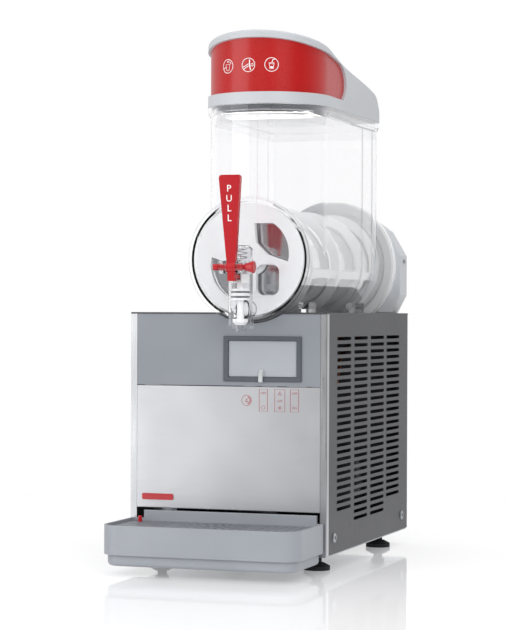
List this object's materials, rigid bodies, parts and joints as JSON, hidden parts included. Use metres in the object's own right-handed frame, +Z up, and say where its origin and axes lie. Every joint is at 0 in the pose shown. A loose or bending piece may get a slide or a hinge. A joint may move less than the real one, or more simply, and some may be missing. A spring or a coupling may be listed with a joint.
{
  "type": "slushie machine",
  "caption": "Countertop slushie machine: louvred cabinet, clear drum bowl with auger, pull-handle tap, wedge-shaped lid with a red sign, drip tray.",
  "frame": {"origin": "centre of the machine's footprint, on the counter", "axes": "+Z up, -Y towards the user and the tap, +X to the user's right"},
  "size_m": [0.2638, 0.512, 0.6742],
  "materials": {
    "stainless": "horizontal brushed grain, satin",
    "dark_paint": "satin powder coat",
    "grey_plastic": "fine moulded satin",
    "flap_plastic": "satin",
    "bezel_plastic": "moulded satin",
    "grid_plastic": "moulded satin",
    "black_plastic": "moulded satin",
    "clear_plastic": "clear moulded polycarbonate",
    "red_plastic": "gloss",
    "red_panel": "gloss printed sheet",
    "white_plastic": "smooth moulded",
    "white_rubber": "food silicone",
    "black_rubber": "matt",
    "zinc_steel": "zinc plated",
    "bright_steel": "ground",
    "bronze": "sintered",
    "gear_nylon": "moulded",
    "copper": "drawn tube",
    "aluminium_fins": "mill finish",
    "black_paint": "gloss enamel",
    "circuit_board": "solder mask",
    "lamp": "LED strip"
  },
  "bodies": {
    "cabinet": {"base_pan": "zinc_steel", "feet": "black_rubber", "left_corner_post": "stainless", "right_corner_post": "stainless", "upper_front_panel": "grey_plastic", "lower_front_panel": "stainless", "badge": "red_plastic", "left_side_panel": "dark_paint", "right_side_panel": "dark_paint", "rear_panel": "dark_paint", "top_deck": "dark_paint", "control_bezel": "bezel_plastic", "flap_hinge_pin": "bright_steel", "switch_plate": "bezel_plastic", "switch_bodies": "black_plastic", "power_inlet": "black_plastic", "control_board": "circuit_board", "gear_housing": "grey_plastic", "gear_housing_cover": "grey_plastic", "panel_screws": "zinc_steel", "rear_flange": "white_plastic", "bowl_gasket": "white_rubber", "evaporator_cylinder": "stainless", "evaporator_coil": "copper", "shaft_bushings": "bronze", "shaft_seal": "black_rubber", "auger_motor": "zinc_steel", "compressor": "black_paint", "compressor_grommets": "black_rubber", "condenser": "aluminium_fins", "fan_shroud": "black_plastic", "fan_motor": "zinc_steel", "filter_drier": "copper", "refrigerant_tubing": "copper"},
    "bowl": {"bowl": "clear_plastic", "tap_body": "clear_plastic", "tap_pin": "red_plastic", "tap_spring": "bright_steel"},
    "handle": {"tap_handle": "red_plastic"},
    "plunger": {"tap_plunger": "white_plastic", "plunger_o_rings": "black_rubber"},
    "auger": {"auger": "white_plastic", "drive_shaft": "bright_steel", "drive_gear": "gear_nylon"},
    "pinion": {"motor_pinion": "gear_nylon"},
    "fan": {"condenser_fan": "black_plastic"},
    "flap": {"control_flap": "flap_plastic", "flap_tab": "clear_plastic"},
    "light_rocker": {"light_rocker": "black_plastic"},
    "mode_rocker": {"mode_rocker": "black_plastic"},
    "power_rocker": {"power_rocker": "black_plastic"},
    "knob": {"density_knob": "black_plastic"},
    "lid": {"lid_shell": "grey_plastic", "lid_sign": "red_panel", "lid_liner": "clear_plastic", "lid_lamp": "lamp"},
    "tray": {"drip_tray": "grey_plastic"},
    "grid": {"drip_grid": "grid_plastic"},
    "float": {"float_indicator": "red_plastic"}
  },
  "joints": [
    {"name": "bowl_slide", "type": "slide", "parent": "cabinet", "child": "bowl", "axis": [0, -1, 0], "range_m": [0, 0.37]},
    {"name": "lid_lift", "type": "slide", "parent": "bowl", "child": "lid", "axis": [0, 0, 1], "range_m": [0, 0.15]},
    {"name": "tap_lever", "type": "hinge", "parent": "bowl", "child": "handle", "pos_m": [0.03, -0.21395, 0.377], "axis": [1, 0, 0], "range_deg": [0, 30], "stiffness_Nm_per_rad": 0.8, "springref_deg": -20.05},
    {"name": "plunger_lift", "type": "slide", "parent": "bowl", "child": "plunger", "axis": [0, 0, 1], "range_m": [0, 0.0176], "deforming": ["tap_spring"]},
    {"name": "auger_spin", "type": "hinge", "parent": "cabinet", "child": "auger", "pos_m": [0.03, 0, 0.388], "axis": [0, 1, 0], "continuous": true},
    {"name": "pinion_spin", "type": "hinge", "parent": "cabinet", "child": "pinion", "pos_m": [-0.024, 0.24605, 0.388], "axis": [0, 1, 0], "continuous": true},
    {"name": "fan_spin", "type": "hinge", "parent": "cabinet", "child": "fan", "pos_m": [-0.073, 0.00105, 0.1275], "axis": [1, 0, 0], "continuous": true},
    {"name": "flap_hinge", "type": "hinge", "parent": "cabinet", "child": "flap", "pos_m": [0.0462, -0.14355, 0.2848], "axis": [-1, 0, 0], "range_deg": [0, 85]},
    {"name": "light_switch", "type": "hinge", "parent": "cabinet", "child": "light_rocker", "pos_m": [0.044, -0.12695, 0.2645], "axis": [1, 0, 0], "range_deg": [0, 16]},
    {"name": "mode_switch", "type": "hinge", "parent": "cabinet", "child": "mode_rocker", "pos_m": [0.0615, -0.12695, 0.2645], "axis": [1, 0, 0], "range_deg": [-8, 8]},
    {"name": "power_switch", "type": "hinge", "parent": "cabinet", "child": "power_rocker", "pos_m": [0.079, -0.12695, 0.2645], "axis": [1, 0, 0], "range_deg": [0, 16]},
    {"name": "density_turn", "type": "hinge", "parent": "cabinet", "child": "knob", "pos_m": [0.019, -0.12695, 0.2645], "axis": [0, 1, 0], "range_deg": [-135, 135]},
    {"name": "tray_slide", "type": "slide", "parent": "cabinet", "child": "tray", "axis": [0, -1, 0], "range_m": [0, 0.15]},
    {"name": "grid_lift", "type": "slide", "parent": "tray", "child": "grid", "axis": [0, 0, 1], "range_m": [0, 0.1]},
    {"name": "float_rise", "type": "slide", "parent": "tray", "child": "float", "axis": [0, 0, 1], "range_m": [0, 0.009]}
  ],
  "couplings": [
    {"joint": "plunger_lift", "follows": "tap_lever", "m_per_rad": 0.0334},
    {"joint": "pinion_spin", "follows": "auger_spin", "ratio": -5}
  ]
}
